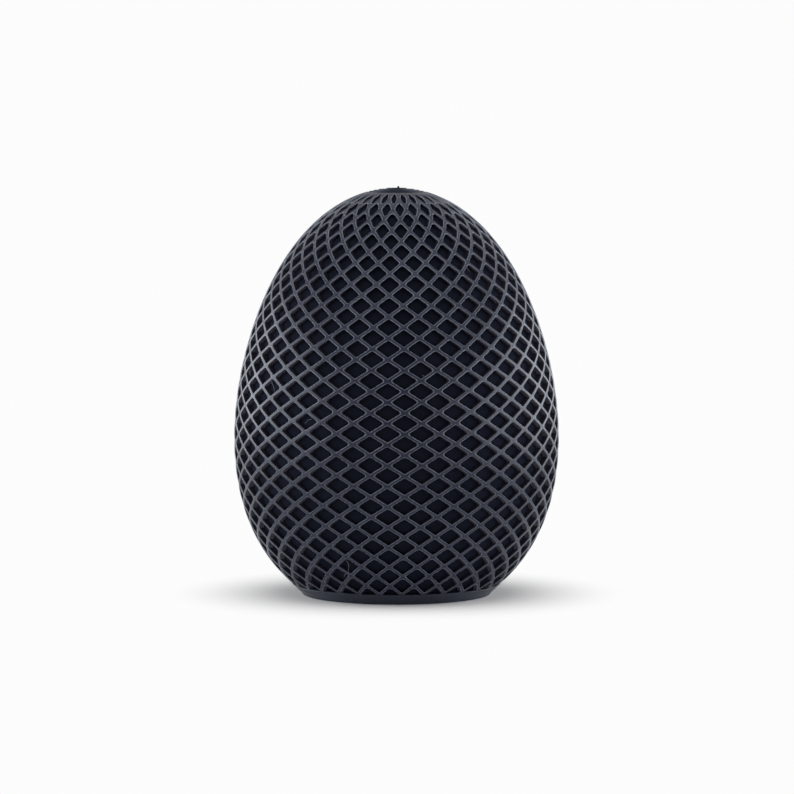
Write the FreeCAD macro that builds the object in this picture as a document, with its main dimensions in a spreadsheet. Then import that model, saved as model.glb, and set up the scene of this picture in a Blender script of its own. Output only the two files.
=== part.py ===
# Decorative lattice egg that stands on a short foot ring, in millimetres.
# The egg stands on Z = 0 with its axis on +Z, and -Y is the side that is looked at.
# Everything round follows one egg outline, given as a radius at each height.

import FreeCAD, Part
import math
import os
import Sketcher

Vector = FreeCAD.Vector
ORIGIN = Vector(0, 0, 0)
UP = Vector(0, 0, 1)
FULL_TURN = 360.0

# Driving dimensions: name, value, meaning
DIMENSIONS = [
    ("profile_centre", 46.97, "height of the outline's middle above the table"),
    ("profile_half_height", 53.62, "half of the outline's length"),
    ("profile_half_width", 39.72, "radius of the outline before its taper"),
    ("taper_share", -0.1429, "how much the outline narrows towards the top"),
    ("belly_share", 0.0642, "how much fuller the outline is at both ends"),
    ("tip_share", 0.0215, "how much fuller the top end is than the bottom"),
    ("egg_height", 100.47, "height of the small flat on the crown"),
    ("foot_radius", 23.05, "radius of the ring where it meets the table"),
    ("foot_height", 2.7, "height of the ring"),
    ("rib_count", 30, "helical ribs of each hand"),
    ("row_pitch", 2.5175, "height from one row of windows to the next"),
    ("lattice_turn", 2.848, "turn of the lattice about the axis, in degrees"),
    ("rib_width", 0.85, "width of a rib across its run"),
    ("rib_depth", 1.9, "how far the ribs stand out from the core"),
    ("crown_rise", 1.0, "height of the crown's flat over its rim"),
    ("crown_rim", 0.7, "thickness of the crown at its rim"),
    ("crown_flat_radius", 2.5, "radius of the flat on the crown"),
    ("crown_border", 0.75, "plain band between the crown and the top windows"),
    ("nub_radius", 0.28, "radius of the blob on the crown"),
    ("nub_height", 0.5, "height of the blob on the crown"),
    ("nub_offset", 0.45, "how far the blob stands from the axis, towards +X"),
    ("core_wall", 0.9, "thickness of the core, two printed lines"),
    ("floor_thickness", 1.0, "thickness of the disc that closes the bottom"),
    ("infill_pitch", 12.0, "spacing of the upright walls inside"),
    ("infill_wall", 0.45, "thickness of those walls, one printed line"),
    ("fit_gap", 0.1, "gap between neighbouring pieces on curved faces"),
    ("cut_overrun", 0.6, "how far a cutting shape reaches past what it cuts"),
]

# Stretches of a smooth outline, each two tangent arcs, and halvings when a height is searched
OUTLINE_STRETCHES = 5
SEARCH_STEPS = 60

document = FreeCAD.newDocument("LatticeEgg")
sheet = document.addObject("Spreadsheet::Sheet", "Sizes")
for line, (alias, value, meaning) in enumerate(DIMENSIONS, start=1):
    sheet.set("A%d" % line, alias)
    sheet.set("B%d" % line, str(value))
    sheet.set("C%d" % line, meaning)
    sheet.setAlias("B%d" % line, alias)
document.recompute()


def size(alias):
    """Value of one cell of the sheet."""
    return float(sheet.get(alias))


# The egg's outline

def outline_place(height):
    """Height as a share of the outline's half length, from its middle: -1 to 1."""
    share = (height - size("profile_centre")) / size("profile_half_height")
    return max(-1.0, min(1.0, share))


def egg_fullness(place):
    """Share by which the outline is fuller or slimmer than an ellipse at a place."""
    rise = size("belly_share") + place * size("tip_share")
    return 1 + place * (size("taper_share") + place * rise)


def egg_radius(height):
    """Radius of the egg at a height: an ellipse times a fullness that changes with height."""
    place = outline_place(height)
    return size("profile_half_width") * math.sqrt(1 - place * place) * egg_fullness(place)


def egg_slope(height):
    """Change of that radius with height."""
    place = outline_place(height)
    flatness = math.sqrt(1 - place * place)
    filling = size("taper_share") + place * (2 * size("belly_share") + place * 3 * size("tip_share"))
    steepness = flatness * filling - place / flatness * egg_fullness(place)
    return steepness * size("profile_half_width") / size("profile_half_height")


def radius_expression(height):
    """The same radius as an expression on the sheet, for a sketch."""
    place = "((%s - Sizes.profile_centre) / Sizes.profile_half_height)" % height
    rise = "(Sizes.belly_share + %s * Sizes.tip_share)" % place
    fullness = "(1 + %s * (Sizes.taper_share + %s * %s))" % (place, place, rise)
    return "Sizes.profile_half_width * sqrt(1 - %s ^ 2) * %s" % (place, fullness)


def search_height(is_below):
    """Height on the egg's upper half where a test stops being true."""
    low = size("profile_centre")
    high = low + size("profile_half_height")
    for _ in range(SEARCH_STEPS):
        middle = (low + high) / 2
        if is_below(middle):
            low = middle
        else:
            high = middle
    return low


def height_at_radius(radius):
    """Height on the egg's upper half at which it has a radius."""
    return search_height(lambda height: egg_radius(height) > radius)


def outline_node(height, depth, inset):
    """Point of the outline moved in sideways by a depth and along its normal by an inset."""
    along = Vector(egg_slope(height), 0, 1).normalize()
    normal = Vector(along.z, 0, -along.x)
    return Vector(egg_radius(height) - depth, 0, height) - normal * inset, along


def arc_edge(start, along, end):
    """Arc that leaves a point in a direction and ends at another point."""
    chord = end - start
    turn = math.atan2(along.x * chord.z - along.z * chord.x, along.dot(chord))
    side = Vector(-chord.z, 0, chord.x)
    middle = (start + end) * 0.5 - side * (math.tan(turn / 2) / 2)
    return Part.Arc(start, middle, end).toShape()


def outline_edges(bottom, top, depth, inset=0):
    """Smooth outline between two heights: in each stretch, two arcs that share a tangent.

    The stretches are even in the outline's angle, so they are short where it turns in.
    """
    first = math.acos(outline_place(bottom))
    last = math.acos(outline_place(top))
    turns = [first + (last - first) * step / OUTLINE_STRETCHES for step in range(OUTLINE_STRETCHES + 1)]
    heights = [size("profile_centre") + size("profile_half_height") * math.cos(turn) for turn in turns]
    nodes = [outline_node(height, depth, inset) for height in heights]
    edges = []
    for (start, leaving), (end, arriving) in zip(nodes[:-1], nodes[1:]):
        chord = end - start
        across = chord.dot(leaving + arriving)
        bend = 1 - leaving.dot(arriving)
        reach = chord.dot(chord) / (across + math.sqrt(across * across + 2 * bend * chord.dot(chord)))
        near = start + leaving * reach
        far = end - arriving * reach
        joint = (near + far) * 0.5
        edges.append(arc_edge(start, leaving, joint))
        edges.append(arc_edge(joint, (far - near).normalize(), end))
    return edges


def closed_face(edges):
    """Flat face inside a loop of edges given in any order."""
    return Part.Face(Part.Wire(Part.__sortEdges__(edges)))


# Heights and radii that more than one piece uses
crown_rim_height = size("egg_height") - size("crown_rise")
crown_seat = crown_rim_height - size("crown_rim")
crown_radius = egg_radius(crown_rim_height)


def add_feature(label, shape):
    """Document object for a shape that no sketch or primitive makes."""
    feature = document.addObject("Part::Feature", label)
    feature.Label = label
    feature.Shape = shape
    feature.Placement = FreeCAD.Placement()
    return feature


# Lattice cage: the ribs are what is left of a wall after its windows are cut.
# One upright sector, one rib spacing wide, is cut, and its skin is repeated round the axis.

def cage_sector(sector_angle):
    """Wall of the cage over one sector, between the foot ring and the crown."""
    depth = size("rib_depth")
    hole = crown_radius + size("fit_gap")
    foot = size("foot_height")
    outer_top = height_at_radius(hole)
    inner_top = height_at_radius(hole + depth)
    foot_outer = Vector(egg_radius(foot), 0, foot)
    face = closed_face([
        *outline_edges(foot, outer_top, 0),
        *outline_edges(foot, inner_top, depth),
        Part.makeLine(foot_outer, foot_outer - Vector(depth, 0, 0)),
        Part.makeLine(Vector(hole, 0, inner_top), Vector(hole, 0, outer_top)),
    ])
    face.rotate(ORIGIN, UP, -sector_angle / 2)
    return face.revolve(ORIGIN, UP, sector_angle)


def window_row_heights():
    """Heights of the rows of windows: the lowest is cut in half by the foot ring."""
    foot = size("foot_height")
    last = height_at_radius(crown_radius + size("crown_border"))
    count = int((last - foot) / size("row_pitch"))
    return [foot + size("row_pitch") * row for row in range(count + 1)]


def window_pyramid(height, sector_angle):
    """Four-sided pyramid that cuts one window, with its tip on the egg's axis.

    Its sides run along the ribs: each rib turns by half a spacing over one row. A corner
    stops where half a rib's width, measured along the row, is left on each side.
    """
    overrun = size("cut_overrun")
    radius = egg_radius(height)
    half_spacing = math.radians(sector_angle / 2)
    turn_per_height = half_spacing / size("row_pitch")
    lean = radius * turn_per_height / math.hypot(1, egg_slope(height))
    half_rib = size("rib_width") / 2 * math.hypot(1, lean)
    half_angle = half_spacing - half_rib / radius
    reach = half_angle / turn_per_height
    border = height_at_radius(crown_radius + size("crown_border"))
    top = min(height + reach, border)
    bottom = height - reach
    ends = [egg_radius(top), egg_radius(max(bottom, size("foot_height")))]
    near = min(ends) - size("rib_depth") - overrun
    far = max(ends + [radius]) + overrun

    def corners(distance):
        scale = distance / radius
        half_width = distance * math.tan(half_angle)
        return [
            Vector(distance, -half_width, height),
            Vector(distance, 0, height + (top - height) * scale),
            Vector(distance, half_width, height),
            Vector(distance, 0, height + (bottom - height) * scale),
        ]

    inner = corners(near)
    outer = corners(far)
    loops = [inner, outer]
    for side in range(len(inner)):
        after = (side + 1) % len(inner)
        loops.append([inner[side], inner[after], outer[after], outer[side]])
    faces = [Part.Face(Part.makePolygon(loop + loop[:1])) for loop in loops]
    return positive_solid(Part.Shell(faces))


def positive_solid(shell):
    """Solid inside a closed shell, turned right side out."""
    solid = Part.Solid(shell)
    if solid.Volume < 0:
        solid.reverse()
    return solid


def lies_on_side(face, sector_angle):
    """True for a face on one of the two upright planes that bound a sector."""
    for side in (-1, 1):
        angle = math.radians(side * sector_angle / 2)
        normal = Vector(-math.sin(angle), math.cos(angle), 0)
        if all(abs(vertex.Point.dot(normal)) < face.Tolerance for vertex in face.Vertexes):
            return True
    return False


def check_windows(sector, sector_angle):
    """Stop if a window is still closed halfway through the wall, at its own centre."""
    for row, height in enumerate(window_row_heights()[1:], start=1):
        centre = 0 if row % 2 else -sector_angle / 2
        distance = egg_radius(height) - size("rib_depth") / 2
        turn = math.radians(centre)
        middle = Vector(distance * math.cos(turn), distance * math.sin(turn), height)
        if sector.isInside(middle, size("fit_gap") / 2, True):
            raise RuntimeError("window row %d was not cut" % row)


def lattice_cage_shape():
    """The whole cage, sewn from the skins of all its sectors."""
    count = int(size("rib_count"))
    sector_angle = FULL_TURN / count
    cutters = []
    for row, height in enumerate(window_row_heights()):
        pyramid = window_pyramid(height, sector_angle)
        centres = [0] if row % 2 else [-sector_angle / 2, sector_angle / 2]
        for centre in centres:
            cutter = pyramid.copy()
            cutter.rotate(ORIGIN, UP, centre)
            cutters.append(cutter)
    sector = cage_sector(sector_angle).cut(cutters)
    check_windows(sector, sector_angle)
    skin = [face for face in sector.Faces if not lies_on_side(face, sector_angle)]
    first_turn = size("lattice_turn") - FULL_TURN / 4
    faces = []
    for number in range(count):
        for face in skin:
            copy = face.copy()
            copy.rotate(ORIGIN, UP, first_turn + sector_angle * number)
            faces.append(copy)
    sewn = Part.Compound(faces)
    sewn.sewShape()
    return positive_solid(sewn.Shells[0])


# Core: follows the inside of the ribs, straight within the foot ring, flat under the crown.

def core_solid(inset):
    """Everything inside the core's outline moved in by an inset, with a level top."""
    depth = size("rib_depth") + size("fit_gap")
    foot = size("foot_height")
    top = crown_seat - inset
    top_node = search_height(lambda height: outline_node(height, depth, inset)[0].z < top)
    shoulder = outline_node(top_node, depth, inset)[0]
    waist = outline_node(foot, depth, inset)[0]
    lean = Vector(egg_radius(foot) - size("foot_radius"), 0, foot).normalize()
    sole = waist - lean * (waist.z / lean.z)
    face = closed_face([
        Part.makeLine(ORIGIN, sole),
        Part.makeLine(sole, waist),
        *outline_edges(foot, top_node, depth, inset),
        Part.makeLine(shoulder, Vector(0, 0, shoulder.z)),
        Part.makeLine(Vector(0, 0, shoulder.z), ORIGIN),
    ])
    return face.revolve(ORIGIN, UP, FULL_TURN)


def make_infill():
    """Two families of upright walls that cross, cut to the room inside the core."""
    room = add_feature("infill_room", core_solid(size("core_wall") + size("fit_gap")))
    reach = int(size("profile_half_width") / size("infill_pitch"))
    walls = []
    for across in ("x", "y"):
        along = "y" if across == "x" else "x"
        for number in range(-reach, reach + 1):
            wall = document.addObject("Part::Box", "infill_wall_%s" % across)
            span = {"x": "Length", "y": "Width"}
            wall.setExpression(span[across], "Sizes.infill_wall")
            wall.setExpression(span[along], "2 * Sizes.profile_half_width")
            wall.setExpression("Height", "Sizes.egg_height - Sizes.floor_thickness - Sizes.fit_gap")
            wall.setExpression("Placement.Base.%s" % across,
                               "%d * Sizes.infill_pitch - Sizes.infill_wall / 2" % number)
            wall.setExpression("Placement.Base.%s" % along, "-Sizes.profile_half_width")
            wall.setExpression("Placement.Base.z", "Sizes.floor_thickness + Sizes.fit_gap")
            walls.append(wall)
    grid = document.addObject("Part::MultiFuse", "infill_walls")
    grid.Shapes = walls
    infill = document.addObject("Part::Common", "infill_grid")
    infill.Base = grid
    infill.Tool = room
    infill.Label = "infill_grid"
    return infill


# Turned pieces made from a sketch

def turned_body(label, corners, arc_side=None):
    """PartDesign body turned about Z from a sketch on the XZ plane.

    corners is the outline, as pairs of expressions for the distance from the axis and the
    height. The side that starts at corner arc_side is an arc centred on the axis.
    """
    body = document.addObject("PartDesign::Body", label)
    body.Label = label
    sketch = body.newObject("Sketcher::SketchObject", label + "_outline")
    plane = [item for item in body.Origin.OriginFeatures if item.Role == "XZ_Plane"][0]
    sketch.AttachmentSupport = (plane, [""])
    sketch.MapMode = "FlatFace"
    start = [Vector(evaluate(radius), evaluate(height), 0) for radius, height in corners]
    count = len(corners)
    for side in range(count):
        first = start[side]
        last = start[(side + 1) % count]
        if side == arc_side:
            sketch.addGeometry(axis_arc(first, last), False)
        else:
            sketch.addGeometry(Part.LineSegment(first, last), False)
    for side in range(count):
        sketch.addConstraint(Sketcher.Constraint("Coincident", side, 2, (side + 1) % count, 1))
    if arc_side is not None:
        sketch.addConstraint(Sketcher.Constraint("PointOnObject", arc_side, 3, -2))
    for side, (radius, height) in enumerate(corners):
        pin_corner(sketch, side, "DistanceX", radius, -2)
        pin_corner(sketch, side, "DistanceY", height, -1)
    turned = body.newObject("PartDesign::Revolution", label + "_turned")
    turned.Profile = (sketch, [""])
    turned.ReferenceAxis = (sketch, ["V_Axis"])
    turned.Angle = FULL_TURN
    return body


def axis_arc(first, last):
    """Arc centred on the sketch's upright axis, from the first point up to the last."""
    fall = first.y - last.y
    centre_height = (first.x ** 2 - last.x ** 2 + first.y ** 2 - last.y ** 2) / (2 * fall)
    centre = Vector(0, centre_height, 0)
    circle = Part.Circle(centre, UP, (first - centre).Length)
    begin = math.atan2(first.y - centre_height, first.x)
    finish = math.atan2(last.y - centre_height, last.x)
    return Part.ArcOfCircle(circle, begin, finish)


def evaluate(expression):
    """Value of an expression on the sheet."""
    return float(sheet.evalExpression(expression))


def pin_corner(sketch, side, kind, expression, axis):
    """Fix one coordinate of a side's first point to an expression, or put it on an axis."""
    if expression == "0":
        sketch.addConstraint(Sketcher.Constraint("PointOnObject", side, 1, axis))
        return
    place = sketch.addConstraint(Sketcher.Constraint(kind, side, 1, evaluate(expression)))
    sketch.setExpression("Constraints[%d]" % place, expression)


FOOT_TOP = radius_expression("Sizes.foot_height")
FOOT_LEAN = "((%s - Sizes.foot_radius) / Sizes.foot_height)" % FOOT_TOP
CROWN_RIM = "(Sizes.egg_height - Sizes.crown_rise)"
CROWN_RADIUS = radius_expression(CROWN_RIM)


def make_stand_ring():
    """Band that the egg stands on: both sides lean out with the egg."""
    return turned_body("stand_ring", [
        ("Sizes.foot_radius - Sizes.rib_depth", "0"),
        ("Sizes.foot_radius", "0"),
        (FOOT_TOP, "Sizes.foot_height"),
        (FOOT_TOP + " - Sizes.rib_depth", "Sizes.foot_height"),
    ])


def make_base_disc():
    """Disc that closes the core's open bottom, level with the table."""
    wall = "Sizes.core_wall * sqrt(1 + %s ^ 2)" % FOOT_LEAN
    rim = "Sizes.foot_radius - Sizes.rib_depth - 2 * Sizes.fit_gap - " + wall
    return turned_body("base_disc", [
        ("0", "0"),
        (rim, "0"),
        ("%s + %s * Sizes.floor_thickness" % (rim, FOOT_LEAN), "Sizes.floor_thickness"),
        ("0", "Sizes.floor_thickness"),
    ])


def make_crown_cap():
    """Low dome in the hole at the top of the cage, seated on the core's flat top."""
    return turned_body("crown_cap", [
        ("0", CROWN_RIM + " - Sizes.crown_rim"),
        (CROWN_RADIUS, CROWN_RIM + " - Sizes.crown_rim"),
        (CROWN_RADIUS, CROWN_RIM),
        ("Sizes.crown_flat_radius", "Sizes.egg_height"),
        ("0", "Sizes.egg_height"),
    ], arc_side=2)


def make_tip_nub():
    """Blob of plastic on the crown's flat, with a round top, a little off the egg's axis."""
    nub = turned_body("tip_nub", [
        ("0", "Sizes.egg_height"),
        ("Sizes.nub_radius", "Sizes.egg_height"),
        ("Sizes.nub_radius", "Sizes.egg_height + Sizes.nub_height - Sizes.nub_radius"),
        ("0", "Sizes.egg_height + Sizes.nub_height"),
    ], arc_side=2)
    nub.setExpression("Placement.Base.x", "Sizes.nub_offset")
    return nub


pieces = [
    add_feature("lattice_cage", lattice_cage_shape()),
    add_feature("core_shell", core_solid(0).cut(core_solid(size("core_wall")))),
    make_infill(),
    make_stand_ring(),
    make_base_disc(),
    make_crown_cap(),
    make_tip_nub(),
]
document.recompute()

for item in document.Objects:
    if "Invalid" in item.State or "Error" in item.State:
        raise RuntimeError("%s did not compute: %s" % (item.Label, item.State))
for piece in pieces:
    if piece.Shape.isNull() or not piece.Shape.isValid() or piece.Shape.Volume <= 0:
        raise RuntimeError("%s has no valid solid" % piece.Label)

os.makedirs("parts", exist_ok=True)
for piece in pieces:
    piece.Shape.exportStep("parts/%s.step" % piece.Label)
    print("%-14s %2d solid, %5d faces, %9.1f mm3" % (
        piece.Label, len(piece.Shape.Solids), len(piece.Shape.Faces), piece.Shape.Volume))
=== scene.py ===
"""Looks of the decorative lattice egg on its foot ring: printed plastic, floor, lamps and camera.

Lengths are in metres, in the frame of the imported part. The egg stands on Z = 0 with its axis on +Z,
and -Y is the side that the camera looks at.
"""

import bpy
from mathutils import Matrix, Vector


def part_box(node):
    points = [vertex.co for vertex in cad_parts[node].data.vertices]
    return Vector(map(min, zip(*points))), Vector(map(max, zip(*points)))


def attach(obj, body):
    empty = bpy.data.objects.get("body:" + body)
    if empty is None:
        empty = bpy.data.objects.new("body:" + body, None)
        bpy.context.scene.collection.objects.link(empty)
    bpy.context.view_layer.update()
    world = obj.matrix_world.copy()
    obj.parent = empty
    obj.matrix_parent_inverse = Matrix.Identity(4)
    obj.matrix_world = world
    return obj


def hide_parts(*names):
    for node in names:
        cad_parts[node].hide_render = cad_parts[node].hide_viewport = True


bl_info = {
    "name": "Lattice Egg",
    "version": (1, 0, 0),
    "blender": (4, 5, 0),
    "location": "View3D > Sidebar > Egg",
    "description": "Dresses the lattice egg's solid parts and sets up a small photo studio round it",
    "category": "Object",
}

import math

import bmesh
import bpy
import numpy as np
from bpy.props import FloatProperty, FloatVectorProperty, IntProperty, PointerProperty

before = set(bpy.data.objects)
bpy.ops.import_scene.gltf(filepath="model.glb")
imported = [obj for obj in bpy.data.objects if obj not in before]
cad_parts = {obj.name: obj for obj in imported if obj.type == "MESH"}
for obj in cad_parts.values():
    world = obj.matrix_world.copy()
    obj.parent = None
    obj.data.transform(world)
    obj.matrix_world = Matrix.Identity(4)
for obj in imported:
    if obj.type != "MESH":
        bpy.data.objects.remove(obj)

MM = 0.001

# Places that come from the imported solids
RING_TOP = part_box("stand_ring")[1].z
CROWN_LOW, CROWN_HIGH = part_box("crown_cap")
NUB_LOW, NUB_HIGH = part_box("tip_nub")
CROWN_RADIUS = CROWN_HIGH.x
EGG_MIDDLE = (0, 0, CROWN_HIGH.z / 2)

# How finely things are drawn
MERGE_DISTANCE = 0.001 * MM
SMALLEST_EDGE = 0.0001 * MM
SMALLEST_LENGTH = 1e-12
CREASE = math.radians(40)
OUTLINE_STEPS = 20001
CORE_STEPS = 80
CORE_TURNS = 192
CROWN_TURNS = 192
RING_TURNS = 480
NUB_TURNS = 24
NUB_STEPS = 12
STEP_ROUND_POINTS = 4
RING_ROUND_POINTS = 6
POINTS_PER_LAYER = 6
HAIR_STEPS = 12
HAIR_SIDES = 6

# Points of the walk round one window, rings of such points from the ribs' middle lines inwards, and
# rounds in which a window's heights settle
WALK = 16
HALF_WALK = WALK // 2
RINGS = 5
ROUNDS = 4

# Limits and shares of the shapes: the most of a side that a fillet takes, the part of the outline's
# half length where it has a slope, how fast the ring's layers drift in and out with their number,
# and the part of the blob's swelling that lies under its foot
MOST_FILLET = 0.42
SLOPE_LIMIT = 0.999
LAYER_DRIFT = 5.3
NUB_FOOT = 0.25

# Plastic: noises of tone and grain, the colour of its gloss, how far layers differ in roughness, how
# narrow the grooves between them are, and where the egg is upright and how far from there it leans
TONE_SCALE = 160.0
BED_TONE_SCALE = 220.0
TONE_NOISE = {"Detail": 3.0, "Roughness": 0.6}
TONE_LIMITS = {"From Min": 0.35, "From Max": 0.65}
GRAIN_NOISE = {"Scale": 5000.0, "Detail": 2.0}
GLOSS_TINT = (0.88, 0.92, 1.0, 1.0)
ROUGHNESS_SPREAD = 0.05
GROOVE_POWER = 4.0
BELLY_HEIGHT = 45 * MM
LEAN_REACH = 50 * MM
BED_SHINE = {"Specular IOR Level": 0.5, "Roughness": 0.32}
BED_LINE_ANGLE = math.radians(45)
BED_RIPPLE_SHARE = 0.25

SENSOR_WIDTH = 36
CLIP_FACTOR = 100
ALL_WHITE = (1, 1, 1, 1)


# Settings

def length(name, description, default):
    """Length property, given in metres."""
    return FloatProperty(name=name, description=description, default=default, unit="LENGTH", precision=5)


def share(name, description, default):
    """Plain factor property."""
    return FloatProperty(name=name, description=description, default=default, precision=4)


def tint(name, description, default):
    """Linear colour property."""
    return FloatVectorProperty(name=name, description=description, default=default, subtype="COLOR",
                               size=3, min=0, max=1)


def finish(name, description, default):
    """Roughness and specular level of a plastic."""
    return FloatVectorProperty(name=name, description=description, default=default, size=2, min=0)


def rotation(name, description, default):
    """Angle property, given in degrees."""
    return FloatProperty(name=name, description=description, default=math.radians(default),
                         unit="ROTATION", precision=5)


class EggOutline(bpy.types.PropertyGroup):
    """Outline that everything round follows: an ellipse that is slimmer at the top"""
    centre: length("Centre Height", "Height of the outline's middle above the table", 46.97 * MM)
    half_height: length("Half Height", "Half of the outline's length", 53.62 * MM)
    half_width: length("Half Width", "Radius of the outline before its taper", 39.70 * MM)
    taper: share("Taper", "How much the outline narrows towards the top", -0.1429)
    belly: share("Belly", "How much fuller the outline is at both ends", 0.0642)
    tip: share("Tip", "How much fuller the top end is than the bottom", 0.0215)


class LatticeSizes(bpy.types.PropertyGroup):
    """Helical ribs and the windows between them"""
    spokes: IntProperty(name="Ribs", description="Helical ribs of each hand", default=30, min=3)
    row_pitch: length("Row Pitch", "Height from one row of windows to the next", 2.5175 * MM)
    turn: rotation("Turn", "Turn of the lattice about the axis", 2.848 - 90)
    rib_width: length("Rib Width", "Width of a rib across its run", 0.85 * MM)
    rib_depth: length("Rib Depth", "How far the ribs stand out from the core", 1.25 * MM)
    core_gap: length("Core Gap", "Gap between the ribs and the core's solid", 0.1 * MM)
    core_sink: length("Core Sink", "How far the ribs' feet reach into the core", 0.05 * MM)
    rounding: length("Rounding", "Rounding along the ribs' outer edges", 0.2 * MM)
    side_fillet: length("Side Fillet", "Fillet in a window's left and right corners", 0.5 * MM)
    top_fillet: length("Top Fillet", "Fillet in a window's upper corner", 0.9 * MM)
    bottom_fillet: length("Bottom Fillet", "Fillet in a window's lower corner", 0.4 * MM)
    face_tilt: rotation("Face Tilt", "How far a rib's face turns towards its edges", 6)
    wall_lean: share("Wall Lean", "How much of its lean a wall keeps in its shading", 0.1)
    crown_border: length("Crown Border", "Plain band between the crown and the top windows", 0.75 * MM)


class PrintSizes(bpy.types.PropertyGroup):
    """Marks that the printer leaves"""
    layer: length("Layer", "Height of one printed layer", 0.25 * MM)
    ripple: length("Ripple", "Depth of the groove between two layers", 0.01 * MM)
    grain: length("Grain", "Height of the plastic's fine grain", 0.004 * MM)
    foot_radius: length("Foot Radius", "Radius of the ring where it meets the table", 23.05 * MM)
    foot_rounding: length("Foot Rounding", "Rounding of the ring's lower edge", 0.35 * MM)
    foot_bead: length("Foot Bead", "Rounding of the ring's upper edge", 0.15 * MM)
    step_rounding: length("Step Rounding", "Rounding of the steps on the crown", 0.08 * MM)
    crown_flat: length("Crown Flat", "Radius of the flat on the crown", 2.5 * MM)
    crown_rise: length("Crown Rise", "Height of the crown's flat over its rim", 1.0 * MM)
    core_wall: length("Core Wall", "Thickness of the core", 1.55 * MM)
    band_wall: length("Band Wall", "Thickness of the band that the egg stands on", 1.9 * MM)
    hair_depth: length("Hair Depth", "How far under the ribs' faces the plastic hairs run", 0.15 * MM)
    line_width: length("Line Width", "Width of one printed line", 0.45 * MM)
    seam_width: length("Seam Width", "Width of the seam where each layer starts", 0.5 * MM)
    seam_height: length("Seam Height", "How far the seam stands out from the ring's face", 0.05 * MM)
    seam_angle: rotation("Seam Angle", "Place of the seam round the axis", -116.4)


class PlasticColours(bpy.types.PropertyGroup):
    """Colours and finishes of the plastic"""
    rib: tint("Rib", "Plastic of the ribs' faces and the disc underneath", (0.013, 0.017, 0.031))
    rib_shade: tint("Rib Shade", "Darker tone in it", (0.010, 0.014, 0.026))
    crown: tint("Crown", "Plastic of the crown, which has little gloss", (0.014, 0.018, 0.030))
    crown_shade: tint("Crown Shade", "Darker tone in it", (0.012, 0.015, 0.026))
    band: tint("Band", "Plastic of the band at the foot", (0.019, 0.025, 0.040))
    band_shade: tint("Band Shade", "Darker tone in it", (0.016, 0.021, 0.034))
    # The edges' paler tone is a painted highlight for the light that the rounded edges catch
    edge: tint("Edge", "Plastic of the ribs' rounded edges, which is paler", (0.048, 0.056, 0.076))
    edge_shade: tint("Edge Shade", "Darker tone in it", (0.036, 0.042, 0.058))
    # Light tone painted on the walls that hang over: painted light, as from the bright table below
    overhang: tint("Overhang", "Rough plastic under the ribs' sides that hang over", (0.105, 0.105, 0.130))
    overhang_shade: tint("Overhang Shade", "Darker tone in it", (0.080, 0.080, 0.102))
    # Darker tone for the walls that face upwards: painted shade, against the painted light on those that
    # hang over
    ledge: tint("Ledge", "Plastic of the ribs' sides that face upwards", (0.030, 0.032, 0.044))
    ledge_shade: tint("Ledge Shade", "Darker tone in it", (0.024, 0.026, 0.037))
    # Darker than the ribs, though the same plastic: painted shade on the window floors deep in their
    # recesses
    core: tint("Core", "Plastic of the core behind the windows", (0.010, 0.012, 0.020))
    core_shade: tint("Core Shade", "Darker tone in it", (0.008, 0.010, 0.017))
    infill: tint("Infill", "Plastic of the walls inside the core", (0.013, 0.017, 0.031))
    infill_shade: tint("Infill Shade", "Darker tone in it", (0.010, 0.012, 0.020))
    hair: tint("Hair", "Fine plastic hairs and specks", (0.100, 0.105, 0.120))
    rib_finish: finish("Rib Finish", "Roughness and gloss of the ribs' faces", (0.32, 0.3))
    band_finish: finish("Band Finish", "Roughness and gloss of the band", (0.38, 0.28))
    edge_finish: finish("Edge Finish", "Roughness and gloss of the ribs' rounded edges", (0.28, 0.8))
    crown_finish: finish("Crown Finish", "Roughness and gloss of the crown", (0.5, 0.2))
    core_finish: finish("Core Finish", "Roughness and gloss of the core and the ribs' sides", (0.8, 0.01))
    # Painted highlight: how much the edges' tone grows towards crown and foot, where they catch the light
    painted_edge_highlight: share("Paling", "Growth of the edges' tone from the belly to crown and foot", 1.5)
    dulling: share("Dulling", "Part of their gloss that level faces lose to the steps of their layers", 0.9)


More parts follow.
